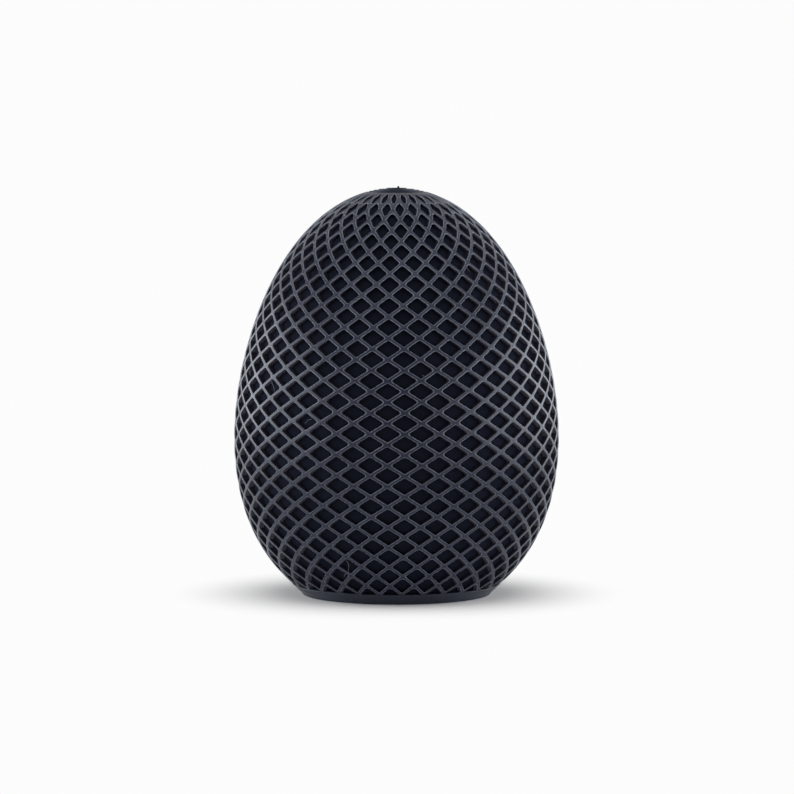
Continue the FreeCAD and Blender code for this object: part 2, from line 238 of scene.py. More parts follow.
class StudioSettings(bpy.types.PropertyGroup):
    """Floor, lamps and camera"""
    camera_distance: length("Camera Distance", "Level distance from the egg's axis to the camera",
                            1070.05 * MM)
    camera_height: length("Camera Height", "Height of the camera above the table", 131.75 * MM)
    camera_tilt: rotation("Camera Tilt", "How far the camera looks down", 4.4327)
    lens: FloatProperty(name="Lens", description="Focal length for a 36 mm wide sensor", default=196.79)
    shift: share("Shift", "Sideways shift that puts the egg where the photograph has it", 0.00065)
    floor: tint("Floor", "Colour of the floor", (0.83, 0.82, 0.80))
    backdrop: tint("Backdrop", "White behind the egg", (0.975, 0.975, 0.975))
    ambient: share("Ambient", "Strength of the light from all round", 0.3)
    dark_side: share("Dark Side", "Strength of the room on the camera's side, against the rest", 0.15)
    dark_middle: share("Dark Middle", "Level part of a direction where the room is darkest", 0.9)
    dark_edge: share("Dark Edge", "Level part of a direction where the dark side begins", 0.4)
    dark_near: length("Dark Near", "How far before the egg the table's dark side begins", 120 * MM)
    dark_far: length("Dark Far", "How far before the egg the table is darkest", 300 * MM)
    left_rim: share("Left Rim Lamp", "Radiance of the softbox beside the egg on the left", 4.6)
    right_rim: share("Right Rim Lamp", "Radiance of the softbox beside the egg on the right", 4.4)
    rim_distance: length("Rim Distance", "Level distance of the rim softboxes from the egg", 600 * MM)
    rim_angle: rotation("Rim Angle", "How far round from the camera they stand", 95)
    rim_height: length("Rim Height", "Height of their middle", 90 * MM)
    rim_width: length("Rim Width", "Width of each", 1000 * MM)
    rim_tall: length("Rim Tall", "Height of each", 560 * MM)
    rim_colour: tint("Rim Colour", "Colour of the rim lamps and the lamp overhead", (0.93, 0.96, 1.0))
    left_front: share("Left Front Lamp", "Radiance of the softbox before the egg on the left", 1.15)
    right_front: share("Right Front Lamp", "Radiance of the softbox before the egg on the right", 1.4)
    front_distance: length("Front Distance", "Level distance of the front softboxes from the egg", 900 * MM)
    front_angle: rotation("Front Angle", "How far round from the camera they stand", 30)
    front_height: length("Front Height", "Height of their middle", 120 * MM)
    front_width: length("Front Width", "Width of each", 500 * MM)
    front_tall: length("Front Tall", "Height of each", 500 * MM)
    front_colour: tint("Front Colour", "Colour of the front lamps", (1.0, 0.80, 0.80))
    top_lamp: share("Top Lamp", "Radiance of the lamp overhead", 1.1)
    top_width: length("Top Width", "Side of the panel overhead", 800 * MM)
    top_height: length("Top Height", "Height of the panel overhead", 700 * MM)
    top_back: length("Top Back", "Place of the panel overhead along Y, below zero on the camera's side",
                     -200 * MM)
    floor_reach: length("Floor Reach", "Distance from the egg to the floor's sides", 1500 * MM)
    fade_near: length("Fade Near", "Distance from the egg where the floor's plain white begins", 24 * MM)
    fade_far: length("Fade Far", "Distance from the egg where the floor is all plain white", 58 * MM)


# The egg's outline

def outline_place(outline, height):
    """Height as a share of the outline's half length, from its middle: -1 to 1."""
    return np.clip((height - outline.centre) / outline.half_height, -1, 1)


def egg_fullness(outline, place):
    """How full the outline is: 1 plus a cubic in the place."""
    return 1 + place * (outline.taper + place * (outline.belly + place * outline.tip))


def egg_radius(outline, height):
    """Radius of the egg at a height: half width, times the root of 1 - place squared, times fullness."""
    place = outline_place(outline, height)
    return outline.half_width * np.sqrt(1 - place * place) * egg_fullness(outline, place)


def egg_slope(outline, height):
    """Change of the egg's radius with height: the derivative of the formula above."""
    place = outline_place(outline, height)
    flatness = np.sqrt(1 - place * place)
    filling = outline.taper + place * (2 * outline.belly + place * 3 * outline.tip)
    change = flatness * filling - place / flatness * egg_fullness(outline, place)
    return change * outline.half_width / outline.half_height


def height_at_radius(outline, radius):
    """Height on the egg's upper half where it has a radius, read from a fine table of the outline."""
    angles = np.linspace(0, math.pi / 2, OUTLINE_STEPS)
    heights = outline.centre + outline.half_height * np.cos(angles)
    return np.interp(radius, egg_radius(outline, heights), heights)


# Meshes

def add_object(name, data):
    """Object for a mesh, a lamp or a camera."""
    thing = bpy.data.objects.new(name, data)
    bpy.context.scene.collection.objects.link(thing)
    return thing


def new_piece(name, mesh, materials, nodes):
    """Object for a finished mesh that rides with the egg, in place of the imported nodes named."""
    piece = add_object(name, mesh)
    for material in materials:
        mesh.materials.append(material)
    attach(piece, "root")
    if nodes:
        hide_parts(*nodes)


def mesh_from_arrays(name, points, faces, facing=None, slots=None):
    """Mesh with its doubled and loose points merged or dropped, and smooth shading.

    facing, where given, is the direction that the surface faces at each point, for the shading,
    and slots is the number of each face's material.
    """
    mesh = bpy.data.meshes.new(name)
    mesh.from_pydata(points.reshape(-1, 3).tolist(), [], faces)
    if slots is not None:
        mesh.polygons.foreach_set("material_index", slots)
    if facing is not None:
        layer = mesh.attributes.new("facing", "FLOAT_VECTOR", "POINT")
        layer.data.foreach_set("vector", facing.astype(np.float32).ravel())
    work = bmesh.new()
    work.from_mesh(mesh)
    bmesh.ops.delete(work, geom=[point for point in work.verts if not point.link_faces], context="VERTS")
    bmesh.ops.remove_doubles(work, verts=work.verts, dist=MERGE_DISTANCE)
    bmesh.ops.dissolve_degenerate(work, edges=work.edges, dist=SMALLEST_EDGE)
    work.to_mesh(mesh)
    work.free()
    mesh.shade_smooth()
    if facing is not None:
        kept = np.zeros(len(mesh.vertices) * 3, np.float32)
        mesh.attributes["facing"].data.foreach_get("vector", kept)
        mesh.attributes.remove(mesh.attributes["facing"])
        mesh.normals_split_custom_set_from_vertices(kept.reshape(-1, 3).tolist())
    return mesh


def around(radius, angle, height):
    """Points at a radius, an angle about Z and a height, as an array that ends in x, y, z."""
    radius, angle, height = np.broadcast_arrays(radius, angle, height)
    return np.stack([radius * np.cos(angle), radius * np.sin(angle), height], axis=-1)


def grid_faces(rows, columns, wrap_rows=False):
    """Four-sided faces of a grid of points whose last column meets its first."""
    index = np.arange(rows * columns).reshape(rows, columns)
    index = np.concatenate([index, index[:, :1]], axis=1)
    if wrap_rows:
        index = np.concatenate([index, index[:1]], axis=0)
    corners = [index[:-1, :-1], index[:-1, 1:], index[1:, 1:], index[1:, :-1]]
    return np.stack([corner.ravel() for corner in corners], axis=1).tolist()


def turned_mesh(name, radius, height, turns, closed_loop=False, axis_x=0.0):
    """Surface of revolution: the profile, given upwards on its outer side, is carried round Z.

    radius is an array over the profile's points, or over profile and turns.
    """
    angle = np.linspace(0, 2 * math.pi, turns, endpoint=False)
    radius = np.asarray(radius, float)
    if radius.ndim == 1:
        radius = radius[:, None]
    points = around(radius, angle[None, :], np.asarray(height, float)[:, None])
    points[..., 0] += axis_x
    mesh = mesh_from_arrays(name, points, grid_faces(len(height), turns, closed_loop))
    mesh.set_sharp_from_angle(angle=CREASE)
    return mesh


# Lattice: each window is a cell bounded by the centre lines of four ribs. Rings of points lead from
# those lines over the ribs' faces and rounded edges, down the side walls and back behind the ribs.


def walk_steps():
    """Which corner each point of a walk round a cell follows, and how many steps after it.

    The walk starts at the right corner and goes anticlockwise, seen from outside.
    """
    walk = np.arange(WALK)
    per_side = WALK // 4
    return walk // per_side, walk % per_side, per_side


def cell_walk():
    """Walk along a cell's four sides, as complex numbers: across plus i times up, from -1 to 1."""
    side, step, per_side = walk_steps()
    along = step / per_side
    return 1j ** side * ((1 - along) + 1j * along)


def window_walk(reach, arc_share):
    """The same walk with its corners rounded, for one window or a column of them.

    reach is the share of a side that each corner's fillet takes, and arc_share how much of the
    corner's own reach is cut away at the middle of the fillet.
    """
    side, step, per_side = walk_steps()
    after = (side + 1) % 4
    along = np.select([step == 0, step == 1, step == per_side - 1],
                      [0, reach[:, side], 1 - reach[:, after]], 0.5)
    shrink = np.where(step == 0, 1 - reach[:, side] * arc_share[:, side], 1)
    return 1j ** side * ((1 - along) + 1j * along) * shrink


def window_rows(outline, lattice):
    """Heights of the rows of windows, from the half row on the ring to the petals at the crown."""
    last = height_at_radius(outline, CROWN_RADIUS + lattice.crown_border)
    count = int((last - RING_TOP) / lattice.row_pitch)
    return RING_TOP + lattice.row_pitch * np.arange(count + 1)


def fillet_shares(outline, lattice, rows):
    """Fillets as shares of a window's sides, in the order right, top, left, bottom.

    A fillet of radius f in a corner with half angle h takes f over the tangent of h of each side.
    The middle of its arc cuts away 1 over (1 plus the sine of h) of that, along the corner's axis.
    """
    across = egg_radius(outline, rows) * math.pi / lattice.spokes
    up = lattice.row_pitch * np.hypot(1, egg_slope(outline, rows))
    side = np.hypot(across, up)
    fillets = [lattice.side_fillet, lattice.top_fillet, lattice.side_fillet, lattice.bottom_fillet]
    half_tangents = np.stack([up / across, across / up, up / across, across / up], axis=1)
    half_sines = np.stack([up / side, across / side, up / side, across / side], axis=1)
    reach = np.array(fillets) / (half_tangents * side[:, None])
    return np.minimum(reach, MOST_FILLET), 1 / (1 + half_sines)


def window_ring(outline, lattice, rows, walk, offset):
    """Points of every window's outline at a distance from the ribs' centre lines.

    A rib line is where across plus up makes 1, and the length of that sum's gradient turns the
    distance into a share of the cell. The top row is cut off below the crown's plain band.
    """
    half_sector = math.pi / lattice.spokes
    border = CROWN_RADIUS + lattice.crown_border + offset - lattice.rib_width / 2
    ceiling = height_at_radius(outline, border)
    height = rows[:, None] + walk.imag * lattice.row_pitch / 2
    for _ in range(ROUNDS):
        level = np.minimum(height, ceiling)
        gradient = np.hypot(1 / (egg_radius(outline, level) * half_sector),
                            1 / (lattice.row_pitch * np.hypot(1, egg_slope(outline, level))))
        inner = 1 - offset * gradient
        height = rows[:, None] + walk.imag * inner * lattice.row_pitch
    rise = height - rows[:, None]
    room = (ceiling - rows) / rise.max(axis=1)
    height = rows[:, None] + np.where(rise > 0, rise * np.minimum(room, 1)[:, None], rise)
    return walk.real * inner, height


def lattice_mesh(outline, lattice):
    """Closed mesh of the whole cage: rings of points, from rib lines to windows and back behind."""
    rows = window_rows(outline, lattice)
    spokes = lattice.spokes
    sector = 2 * math.pi / spokes
    depth = lattice.rib_depth + lattice.core_gap + lattice.core_sink
    hole = CROWN_RADIUS
    hole_top = height_at_radius(outline, hole)
    hole_bottom = height_at_radius(outline, hole + depth)

    # Outer lines of the cells. Those of the top row end at the crown instead of at more ribs.
    lines = cell_walk()
    line_across = np.tile(lines.real, (len(rows), 1))
    line_height = rows[:, None] + lines.imag * lattice.row_pitch
    upper = np.arange(1, HALF_WALK)
    shoulders = [1, HALF_WALK - 1]
    line_across[-1, upper] = np.clip(lines.real[upper] * 2, -1, 1)
    line_across[-1, shoulders] = [1, -1]
    line_height[-1, upper] = hole_top
    line_height[-1, shoulders] = (rows[-1] + hole_top) / 2
    line_radius = egg_radius(outline, np.minimum(line_height, hole_top))

    walk = window_walk(*fillet_shares(outline, lattice, rows))
    face_across, face_height = window_ring(outline, lattice, rows, walk,
                                           lattice.rib_width / 2 - lattice.rounding)
    wall_across, wall_height = window_ring(outline, lattice, rows, walk, lattice.rib_width / 2)
    face_radius = egg_radius(outline, face_height)
    wall_radius = egg_radius(outline, wall_height)
    wall_slope = egg_slope(outline, wall_height)

    # The rounding ends below the face, square to it on the upper half and level on the lower half
    tilt = np.maximum(-wall_slope, 0)
    edge_radius = wall_radius - lattice.rounding / np.hypot(1, tilt)
    edge_height = wall_height - lattice.rounding * tilt / np.hypot(1, tilt)
    foot_radius = np.maximum(wall_radius - depth, hole)

    # Behind the ribs the lines lie on the core, and those of the top row come up inside the hole
    back_height = line_height.copy()
    back_radius = np.maximum(line_radius - depth, hole)
    back_height[-1, shoulders] = hole_bottom
    back_radius[-1, upper] = hole

    across = np.stack([line_across, face_across, wall_across, wall_across, line_across], axis=1)
    height = np.stack([line_height, face_height, edge_height, wall_height, back_height], axis=1)
    radius = np.stack([line_radius, face_radius, edge_radius, foot_radius, back_radius], axis=1)

    start = lattice.turn + np.where(np.arange(len(rows)) % 2 == 0, sector / 2, 0)
    centre = start[:, None] + sector * np.arange(spokes)[None, :]
    angle = centre[:, :, None, None] + across[:, None] * sector / 2
    points = around(radius[:, None], angle, height[:, None])
    facing = cell_facing(outline, lattice, points, angle, height)

    faces, slots = cell_faces(len(rows), spokes)
    return mesh_from_arrays("lattice_ribs", points, faces, facing, slots)


def cell_facing(outline, lattice, points, angle, height):
    """Direction of the surface at the rings' points.

    Along their middle lines the ribs face as the egg does, and beside them they turn a little
    towards their edges, because a printed line is rounded. The walls face across their own run,
    into the window, but more level than that, because they are stairs of layers with upright sides.
    """
    highest = outline.centre + SLOPE_LIMIT * outline.half_height
    slope = egg_slope(outline, np.minimum(height, highest))[:, None]
    scale = np.hypot(1, slope)
    egg = around(1 / scale, angle, -slope / scale)
    run = np.roll(points, -1, axis=3) - np.roll(points, 1, axis=3)
    outwards = around(1.0, angle, 0.0)
    walls = np.cross(outwards, run)
    walls[..., 2] *= lattice.wall_lean
    walls /= np.maximum(np.linalg.norm(walls, axis=-1, keepdims=True), SMALLEST_LENGTH)
    facing = egg.copy()
    facing[:, :, 1] = (math.cos(lattice.face_tilt) * egg[:, :, 1]
                       + math.sin(lattice.face_tilt) * walls[:, :, 1])
    facing[:, :, 2:4] = walls[:, :, 2:4]
    facing[:, :, 4] *= -1
    # On the hole's rim the points behind the top row are the same as those of its outer lines
    facing[-1, :, 4, 1:HALF_WALK] = facing[-1, :, 0, 1:HALF_WALK]
    # The half windows on the ring have no lower side, so their corners look along their own row
    facing[0, :, 2:4, 0] = facing[0, :, 2:4, 1]
    facing[0, :, 2:4, HALF_WALK] = facing[0, :, 2:4, HALF_WALK - 1]
    return facing


def cell_faces(rows, spokes):
    """Faces between neighbouring rings, then the soles of the ribs on the ring, and their materials.

    The slots are 1 for the walls in the upper half of a window, which hang over it, 2 for those in
    its lower half, 3 for the rounded edges and 0 for the rest. Slot 1 carries painted light, slot 2
    painted shade and slot 3 a painted highlight.
    """
    index = np.arange(rows * spokes * RINGS * WALK).reshape(rows, spokes, RINGS, WALK)
    after = np.roll(index, -1, axis=3)
    corners = [index[:, :, :-1], after[:, :, :-1], after[:, :, 1:], index[:, :, 1:]]
    quads = np.stack(corners, axis=-1)
    slots = np.zeros(quads.shape[:-1], int)
    slots[:, :, 2, :HALF_WALK] = 1
    slots[:, :, 2, HALF_WALK:] = 2
    slots[:, :, 1] = 3
    lowest = quads[0, :, :, :HALF_WALK].reshape(-1, 4).tolist()
    others = quads[1:].reshape(-1, 4).tolist()
    right_soles = index[0, :, :, 0].tolist()
    left_soles = index[0, :, ::-1, HALF_WALK].tolist()
    faces = lowest + others + right_soles + left_soles
    return faces, [*slots[0, :, :, :HALF_WALK].ravel(), *slots[1:].ravel(), *[0] * spokes * 2]


# Turned pieces

def core_side(outline, lattice, marks, inset):
    """Radii and heights of the core's side, moved in by an inset, from its sole to its top.

    Above the ring it is the egg's outline, moved in sideways by the ribs' depth and then along its
    own normal. Below that it runs straight down, as the ring's outer side does.
    """
    depth = lattice.rib_depth + lattice.core_gap
    top = height_at_radius(outline, CROWN_RADIUS / 2 + depth)
    angles = np.linspace(math.acos(outline_place(outline, RING_TOP)),
                         math.acos(outline_place(outline, top)), CORE_STEPS)
    height = outline.centre + outline.half_height * np.cos(angles)
    slope = egg_slope(outline, height)
    radius = egg_radius(outline, height) - depth - inset / np.hypot(1, slope)
    height = height + inset * slope / np.hypot(1, slope)
    level = CROWN_LOW.z - inset
    keep = height < level
    shoulder = np.interp(level, height, radius)
    lean = (egg_radius(outline, RING_TOP) - marks.foot_radius) / RING_TOP
    sole = radius[0] - lean * height[0]
    return (np.concatenate([[sole], radius[keep], [shoulder, 0]]),
            np.concatenate([[0], height[keep], [level, level]]))


def core_section(outline, lattice, marks):
    """Radii and heights of the core's section: down its inside and up its outside."""
    outer_radius, outer_height = core_side(outline, lattice, marks, 0)
    inner_radius, inner_height = core_side(outline, lattice, marks, marks.core_wall)
    return (np.concatenate([inner_radius[::-1], outer_radius]),
            np.concatenate([inner_height[::-1], outer_height]))


def quarter_round(radius, points):
    """Two ways along a quarter round, from 0 up to its radius and from its radius down to 0."""
    turn = np.linspace(0, math.pi / 2, points)
    return radius * (1 - np.cos(turn)), radius * (1 - np.sin(turn))


def crown_profile(marks):
    """Radii and heights of the stepped dome, from under its middle, up its rim, to its flat.

    The dome is a circle about the axis, through the flat's edge and the rim. Each printed layer
    reaches out to where that circle has the layer's own top, and ends in a small quarter round.
    """
    rim_height = CROWN_HIGH.z - marks.crown_rise
    flat = marks.crown_flat
    squares = flat ** 2 - CROWN_RADIUS ** 2 + CROWN_HIGH.z ** 2 - rim_height ** 2
    centre = squares / (2 * marks.crown_rise)
    levels = np.linspace(rim_height, CROWN_HIGH.z, round(marks.crown_rise / marks.layer) + 1)
    reach = np.sqrt(flat ** 2 + (CROWN_HIGH.z - centre) ** 2 - (levels - centre) ** 2)
    feet = np.concatenate([[CROWN_LOW.z], levels[:-1]])
    inwards, below = quarter_round(marks.step_rounding, STEP_ROUND_POINTS)
    radius = np.column_stack([reach, reach[:, None] - inwards])
    height = np.column_stack([feet, levels[:, None] - below])
    return (np.concatenate([[0], radius.ravel(), [0]]),
            np.concatenate([[CROWN_LOW.z], height.ravel(), [CROWN_HIGH.z]]))


def ring_profile(outline, marks):
    """Radii and heights round the ring's section, from its inner sole, up its face, and back.

    The face is a straight cone that ends at the egg's own radius. Across each layer it swells by a
    parabola and the layers differ a little, by a sine of the layer's number.
    """
    top = egg_radius(outline, RING_TOP)
    lean = (top - marks.foot_radius) / RING_TOP
    low = marks.foot_rounding
    high = marks.foot_bead
    height = np.arange(low, RING_TOP - high, marks.layer / POINTS_PER_LAYER)
    place = height / marks.layer
    swell = 1 - (2 * (place % 1) - 1) ** 2
    shift = 0.5 + 0.5 * np.sin(LAYER_DRIFT * np.floor(place))
    face = marks.foot_radius + lean * height - marks.ripple * (1 - swell) - marks.ripple * shift
    low_height, low_inwards = quarter_round(low, RING_ROUND_POINTS)
    low_radius = marks.foot_radius + lean * low - marks.ripple - low_inwards
    high_inwards, below = quarter_round(high, RING_ROUND_POINTS)
    high_radius = top - marks.ripple - high_inwards
    high_height = RING_TOP - below
    radius = np.concatenate([[marks.foot_radius - marks.band_wall], low_radius, face, high_radius,
                             [top - marks.band_wall]])
    height = np.concatenate([[0], low_height, height, high_height, [RING_TOP]])
    return radius, height


def ring_mesh(outline, marks):
    """The ring, with a low upright ridge on its face where every layer starts and ends."""
    radius, height = ring_profile(outline, marks)
    angle = np.linspace(0, 2 * math.pi, RING_TURNS, endpoint=False)
    away = (angle - marks.seam_angle + math.pi) % (2 * math.pi) - math.pi
    ridge = marks.seam_height * np.exp(-(away * marks.foot_radius / marks.seam_width) ** 2)
    on_face = (radius > marks.foot_radius - marks.foot_rounding) & (height > 0)
    radius = radius[:, None] + on_face[:, None] * ridge
    return turned_mesh("stand_band", radius, height, RING_TURNS, closed_loop=True)


def nub_profile():
    """Blob of plastic: its radius swells and closes as the root of a sine up its height."""
    place = np.linspace(0, 1, NUB_STEPS)
    width = (NUB_HIGH.x - NUB_LOW.x) / 2
    height = NUB_LOW.z + (NUB_HIGH.z - NUB_LOW.z) * place
    radius = width * np.sqrt(np.sin(math.pi * (NUB_FOOT + (1 - NUB_FOOT) * place)))
    radius[-1] = 0
    return np.concatenate([[0], radius]), np.concatenate([[NUB_LOW.z], height])


# Hairs and specks that the nozzle pulled: half thickness in millimetres, then angle in degrees and
# height in millimetres of each point on the way

HAIRS = [
    (0.07, [(-111.7, 12.25), (-110.6, 10.6), (-111.9, 8.60)]),
    (0.06, [(-111.9, 8.70), (-114.2, 7.9), (-115.5, 6.80)]),
    (0.16, [(-112.1, 8.66), (-111.6, 8.60)]),
    (0.07, [(-142.4, 54.8), (-140.3, 53.4), (-138.9, 51.9)]),
    (0.06, [(-53.8, 83.3), (-52.9, 82.1), (-52.2, 80.8)]),
    (0.07, [(-160.6, 56.4), (-158.2, 55.0)]),
    (0.06, [(-123.6, 44.9), (-122.2, 45.9), (-120.2, 46.2)]),
    (0.14, [(-80.6, 56.8), (-80.1, 56.7)]),
    (0.14, [(-81.1, 35.4), (-80.6, 35.3)]),
    (0.16, [(-115.2, 89.5), (-114.4, 89.4)]),
]


def hair_mesh(outline, marks):
    """Tubes along bent lines on the egg. Their width swells and closes as the root of a sine."""
    place = np.linspace(0, 1, HAIR_STEPS)
    turn = np.linspace(0, 2 * math.pi, HAIR_SIDES, endpoint=False)[:, None]
    points, faces = [], []
    for half_width, path in HAIRS:
        stops = np.linspace(0, 1, len(path))
        angle = np.radians(np.interp(place, stops, [angle for angle, height in path]))
        height = np.interp(place, stops, [height for angle, height in path]) * MM
        line = around(egg_radius(outline, height) - marks.hair_depth, angle, height)
        out = around(1.0, angle, 0.0)
        across = np.cross(out, np.gradient(line, axis=0))
        across /= np.linalg.norm(across, axis=1, keepdims=True)
        width = half_width * MM * np.sqrt(np.abs(np.sin(math.pi * place)))
        width[[0, -1]] = 0
        turned = out[:, None] * np.cos(turn) + across[:, None] * np.sin(turn)
        start = len(points) * HAIR_STEPS * HAIR_SIDES
        faces += (np.array(grid_faces(HAIR_STEPS, HAIR_SIDES)) + start).tolist()
        points.append(line[:, None] + width[:, None, None] * turned)
    return mesh_from_arrays("plastic_hairs", np.stack(points), faces)


# Materials

class Term:
    """Value that a node gives out, to write formulas with."""

    def __init__(self, material, socket):
        self.material = material
        self.socket = socket

    def apply(self, operation, other=None):
        """Result of a math node for this value and, where given, another one or a number."""
        inputs = {0: self} if other is None else {0: self, 1: other}
        node = add_node(self.material, "ShaderNodeMath", inputs, operation=operation)
        return Term(self.material, node.outputs[0])

    def __add__(self, other):
        return self.apply("ADD", other)

    def __sub__(self, other):
        return self.apply("SUBTRACT", other)

    def __mul__(self, other):
        return self.apply("MULTIPLY", other)

    def __truediv__(self, other):
        return self.apply("DIVIDE", other)

    def __pow__(self, other):
        return self.apply("POWER", other)


def add_node(material, kind, inputs=None, **settings):
    """Node of a kind in a material, with its settings. An input takes a value, a socket or a Term."""
    node = material.node_tree.nodes.new(kind)
    for name, value in settings.items():
        setattr(node, name, value)
    for name, value in (inputs or {}).items():
        source = value.socket if isinstance(value, Term) else value
        if isinstance(source, bpy.types.NodeSocket):
            material.node_tree.links.new(source, node.inputs[name])
        else:
            node.inputs[name].default_value = source
    return node


def map_range(material, value, limits, **settings):
    """Value carried from one range to another, 0 to 1 where limits leave a range out."""
    node = add_node(material, "ShaderNodeMapRange", {"Value": value, **limits}, **settings)
    return Term(material, node.outputs["Result"])


def axes(material, vector):
    """The x, y and z of a vector."""
    node = add_node(material, "ShaderNodeSeparateXYZ", {"Vector": vector})
    return [Term(material, output) for output in node.outputs]


def new_material(name):
    """Empty node material and its object coordinates."""
    material = bpy.data.materials.new(name)
    material.use_nodes = True
    material.node_tree.nodes.clear()
    return material, add_node(material, "ShaderNodeTexCoord").outputs["Object"]


def plastic_surface(material, relief, inputs):
    """Shader and output of a plastic whose bump is a relief in metres."""
    bump = add_node(material, "ShaderNodeBump", {"Strength": 1.0, "Distance": 1.0, "Height": relief})
    shader = add_node(material, "ShaderNodeBsdfPrincipled", {**inputs, "Normal": bump.outputs["Normal"]})
    add_node(material, "ShaderNodeOutputMaterial", {"Surface": shader.outputs["BSDF"]})


def two_tone(material, place, colours, part, scale):
    """Colour that drifts between a part's two tones with a soft noise, or its only tone."""
    noise = add_node(material, "ShaderNodeTexNoise", {"Vector": place, "Scale": scale, **TONE_NOISE})
    light = getattr(colours, part)
    dark = getattr(colours, f"{part}_shade", light)
    mix = add_node(material, "ShaderNodeMix",
                   {"Factor": map_range(material, noise.outputs["Fac"], TONE_LIMITS),
                    "A": (*dark, 1), "B": (*light, 1)}, data_type="RGBA")
    return mix.outputs["Result"]


def plastic(scene, part, like, dulling=0.0, painted_edge_highlight=0.0):
    """Matt plastic laid down in level layers, with a part's own tones and the finish that like names.

    The bump is a groove between layers, a stair on faces that lie nearly level, and a fine grain.
    Each layer also has a roughness of its own. Where a face lies level, the steps between layers
    take the share dulling of its gloss. The tone grows by the share given for the edges' highlight
    from the belly towards crown and foot, as the square of the distance: a painted highlight where
    the edges lean and catch the light.
    """
    marks = scene.egg_print
    colours = scene.egg_colours
    material, place = new_material(f"{part}_plastic")
    tone = two_tone(material, place, colours, part, TONE_SCALE)
    height = axes(material, place)[2]
    # Painted highlight: the edges' tone is raised towards crown and foot, where they lean and catch the
    # light
    if painted_edge_highlight:
        away = ((height - BELLY_HEIGHT) / LEAN_REACH).apply("ABSOLUTE")
        highlighted = add_node(material, "ShaderNodeVectorMath",
                         {"Vector": tone, "Scale": away ** 2.0 * painted_edge_highlight + 1.0}, operation="SCALE")
        tone = highlighted.outputs["Vector"]

    layers = height / marks.layer
    fraction = layers.apply("FRACT")
    groove = ((fraction - 0.5).apply("ABSOLUTE") * 2.0) ** GROOVE_POWER
    facing = add_node(material, "ShaderNodeNewGeometry").outputs["Normal"]
    level = axes(material, facing)[2].apply("MAXIMUM", 0.0) ** 2.0
    noise = add_node(material, "ShaderNodeTexNoise", {"Vector": place, **GRAIN_NOISE})
    grain = Term(material, noise.outputs["Fac"]) * marks.grain
    relief = groove * -marks.ripple + fraction * level * -marks.layer + grain

    own = add_node(material, "ShaderNodeTexWhiteNoise", {"W": layers.apply("FLOOR")}, noise_dimensions="1D")
    roughness, gloss = getattr(colours, f"{like}_finish")
    rough = map_range(material, own.outputs["Value"],
                      {"To Min": roughness - ROUGHNESS_SPREAD, "To Max": roughness + ROUGHNESS_SPREAD})
    if dulling:
        gloss = map_range(material, level, {"To Min": gloss, "To Max": gloss * (1.0 - dulling)})
    plastic_surface(material, relief, {"Base Color": tone, "Roughness": rough,
                                       "Specular IOR Level": gloss, "Specular Tint": GLOSS_TINT})
    return material


def bed_plastic(scene):
    """First layer as it comes off the print bed: smooth, with slanted lines one printed line apart."""
    marks = scene.egg_print
    material, place = new_material("bed_plastic")
    tone = two_tone(material, place, scene.egg_colours, "rib", BED_TONE_SCALE)
    turned = add_node(material, "ShaderNodeMapping", {"Vector": place, "Rotation": (0, 0, BED_LINE_ANGLE)})
    across = axes(material, turned.outputs["Vector"])[0]
    wave = (across * (2 * math.pi / marks.line_width)).apply("SINE")
    plastic_surface(material, wave * (marks.ripple * BED_RIPPLE_SHARE), {"Base Color": tone, **BED_SHINE})
    return material


def paint_node(name, material):
    """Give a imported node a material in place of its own."""
    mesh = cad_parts[name].data
    mesh.materials.clear()
    mesh.materials.append(material)


def seen_rays(material):
    """Share of rays that show plain white, and that share with reflections added."""
    path = add_node(material, "ShaderNodeLightPath").outputs
    direct = Term(material, path["Is Camera Ray"]).apply("MAXIMUM", path["Is Transmission Ray"])
    return direct, direct.apply("MAXIMUM", path["Is Glossy Ray"])


def room_strength(material, place, low, high, dark_side):
    """Strength of the white room: 1, and less where a place or direction has a low Y."""
    return map_range(material, axes(material, place)[1],
                     {"From Min": low, "From Max": high, "To Min": dark_side, "To Max": 1.0})


def table_white(studio):
    """White that is shaded near the egg and plain white to the camera far from it.

    Between two distances from the egg's axis the plain white takes over, for the camera, for
    reflections and through clear things. Reflections show it darker far on the camera's side.
    """
    material, place = new_material("table_white")
    direct, seen = seen_rays(material)
    room = room_strength(material, place, -studio.dark_far, -studio.dark_near, studio.dark_side)
    shaded = add_node(material, "ShaderNodeBsdfDiffuse", {"Color": (*studio.floor, 1)})
    white = add_node(material, "ShaderNodeEmission",
                     {"Color": (*studio.backdrop, 1), "Strength": direct.apply("MAXIMUM", room)})
    distance = add_node(material, "ShaderNodeVectorMath", {0: place}, operation="LENGTH")
    fade = map_range(material, distance.outputs["Value"],
                     {"From Min": studio.fade_near, "From Max": studio.fade_far},
                     interpolation_type="SMOOTHSTEP")
    mix = add_node(material, "ShaderNodeMixShader",
                   {"Fac": fade * seen, 1: shaded.outputs["BSDF"], 2: white.outputs["Emission"]})
    add_node(material, "ShaderNodeOutputMaterial", {"Surface": mix.outputs["Shader"]})
    return material


# Operators, one for each piece or group of like pieces

class EGG_OT_core(bpy.types.Operator):
    """Dark closed egg behind the windows, its plastic darkened as painted shade for the deep window floors
    """
    bl_idname = "egg.core"
    bl_label = "Core"

    def execute(self, context):
        scene = context.scene
        radius, height = core_section(scene.egg_outline, scene.egg_lattice, scene.egg_print)
        mesh = turned_mesh("core_surface", radius, height, CORE_TURNS)
        new_piece("core_surface", mesh, [plastic(scene, "core", "core")], ["core_shell"])
        return {"FINISHED"}


